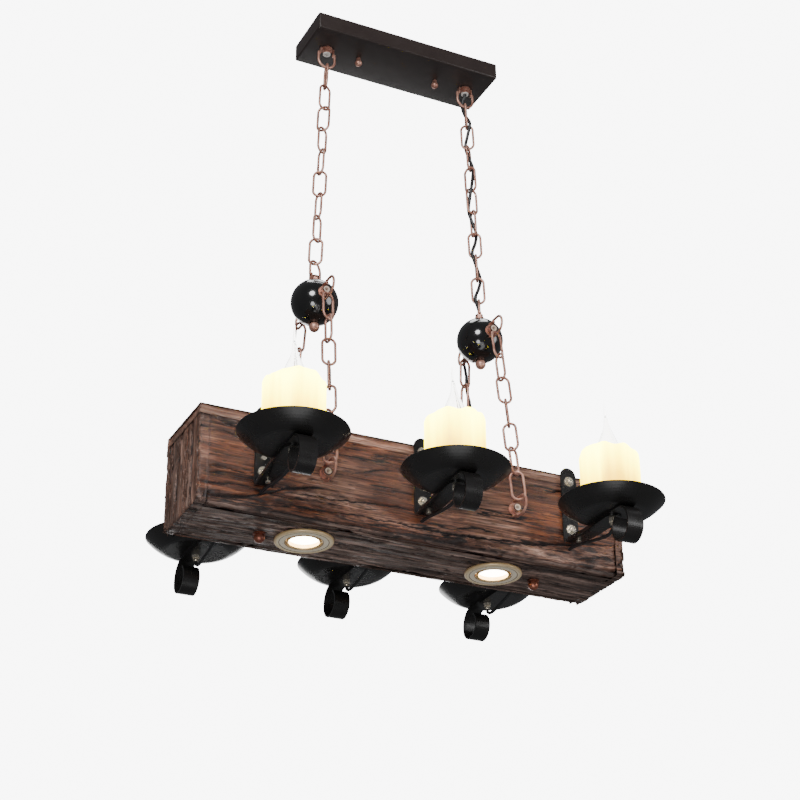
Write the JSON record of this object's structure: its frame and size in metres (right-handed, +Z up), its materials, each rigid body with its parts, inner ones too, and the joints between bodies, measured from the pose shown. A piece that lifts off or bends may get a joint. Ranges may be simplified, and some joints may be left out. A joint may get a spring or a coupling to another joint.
{
  "type": "multi arm chandelier",
  "caption": "Rustic hollow wooden beam hung by chains and balls from a ceiling canopy, with candle dishes on scrolled iron arms and tilting downlights in the underside.",
  "frame": {"origin": "centre of the canopy's top edge, on the ceiling plane", "axes": "+X along the beam to the right, +Y to the rear, +Z up"},
  "size_m": [0.75, 0.5842, 1.0035],
  "materials": {
    "zinc": "dull zinc-plated steel",
    "black_iron": "smooth satin black paint",
    "copper": "aged antique copper plating, rubbed bright on the raised parts",
    "white_plastic": "off-white plastic",
    "ivory_plastic": "ivory plastic",
    "cable_sheath": "black flexible sheath",
    "rustic_wood": "stained rustic wood with cracks and a rough live edge",
    "bolt_brass": "bright brass plating",
    "wax": "translucent wax look, cream at the top and amber below",
    "bulb_glass": "clear glass",
    "trim_champagne": "satin bronze paint",
    "ring_brass": "satin brass",
    "lamp_face": "clear faceted lens over a warm light"
  },
  "bodies": {
    "canopy": {"ceiling_bracket": "zinc", "canopy_studs": "zinc", "canopy_shell": "black_iron", "canopy_cap_nuts": "copper", "canopy_nipples": "copper", "canopy_hex_nuts": "copper", "canopy_ear_plates": "copper", "canopy_bushings": "white_plastic", "canopy_bails": "copper", "terminal_block": "ivory_plastic", "canopy_lead": "cable_sheath"},
    "top_links": {"first_links": "copper"},
    "right_chain": {"chain_right": "copper", "cable_upper": "cable_sheath"},
    "left_chain": {"chain_left": "copper"},
    "right_end_link": {"last_link_right": "copper"},
    "left_end_link": {"last_link_left": "copper"},
    "beam_unit": {"ball_left": "black_iron", "ball_right": "black_iron", "ball_finials": "copper", "loop_nipples": "copper", "loop_hex_nuts": "copper", "loop_ear_plates": "copper", "loop_bushings": "white_plastic", "loop_bails": "copper", "chain_front_left": "copper", "chain_rear_left": "copper", "chain_front_right": "copper", "chain_rear_right": "copper", "cable_lower": "cable_sheath", "beam_top_board": "rustic_wood", "beam_front_board": "rustic_wood", "beam_rear_board": "rustic_wood", "beam_bottom_board": "rustic_wood", "beam_end_left": "rustic_wood", "beam_end_right": "rustic_wood", "tie_rods": "zinc", "beam_ball_nuts": "copper", "arm_bracket_front_left": "black_iron", "arm_bracket_front_middle": "black_iron", "arm_bracket_front_right": "black_iron", "arm_bracket_rear_left": "black_iron", "arm_bracket_rear_middle": "black_iron", "arm_bracket_rear_right": "black_iron", "arm_scrolls": "black_iron", "arm_bolts": "bolt_brass", "candle_cables": "cable_sheath", "candle_dishes": "black_iron", "candle_sleeves": "wax", "lampholders": "ivory_plastic", "bulb_caps": "bolt_brass", "bulb_glasses": "bulb_glass", "spot_trims": "trim_champagne", "spot_springs": "zinc", "spot_pivot_pins": "zinc"},
    "left_spot": {"spot_eyeball_left": "ring_brass", "spot_lamp_left": "lamp_face"},
    "right_spot": {"spot_eyeball_right": "ring_brass", "spot_lamp_right": "lamp_face"}
  },
  "joints": [
    {"name": "front_back_sway", "type": "hinge", "parent": "canopy", "child": "top_links", "pos_m": [0, 0, -0.071], "axis": [1, 0, 0], "range_deg": [-20, 20], "deforming": ["cable_upper"]},
    {"name": "right_chain_sway", "type": "hinge", "parent": "top_links", "child": "right_chain", "pos_m": [0.14146, 0, -0.11681], "axis": [0, 1, 0], "range_deg": [-8, 8], "deforming": ["cable_upper"]},
    {"name": "left_chain_sway", "type": "hinge", "parent": "top_links", "child": "left_chain", "pos_m": [-0.14146, 0, -0.11681], "axis": [0, 1, 0], "range_deg": [-8.5, 8.5]},
    {"name": "right_end_turn", "type": "hinge", "parent": "right_chain", "child": "right_end_link", "pos_m": [0.15397, 0, -0.43752], "axis": [0, 1, 0], "range_deg": [-8, 8], "deforming": ["cable_upper"]},
    {"name": "left_end_turn", "type": "hinge", "parent": "left_chain", "child": "left_end_link", "pos_m": [-0.15397, 0, -0.43752], "axis": [0, 1, 0], "range_deg": [-8, 8]},
    {"name": "beam_rock", "type": "hinge", "parent": "right_end_link", "child": "beam_unit", "pos_m": [0.1554, 0, -0.47879], "axis": [1, 0, 0], "range_deg": [-8, 8], "deforming": ["cable_upper"]},
    {"name": "left_spot_tilt", "type": "hinge", "parent": "beam_unit", "child": "left_spot", "pos_m": [-0.1667, 0, -0.9801], "axis": [1, 0, 0], "range_deg": [-20, 20]},
    {"name": "right_spot_tilt", "type": "hinge", "parent": "beam_unit", "child": "right_spot", "pos_m": [0.1667, 0, -0.9801], "axis": [1, 0, 0], "range_deg": [-20, 20]}
  ],
  "couplings": [
    {"joint": "left_chain_sway", "follows": "right_chain_sway", "ratio": 1},
    {"joint": "right_end_turn", "follows": "right_chain_sway", "ratio": -0.9189},
    {"joint": "left_end_turn", "follows": "right_chain_sway", "ratio": -0.9187}
  ]
}
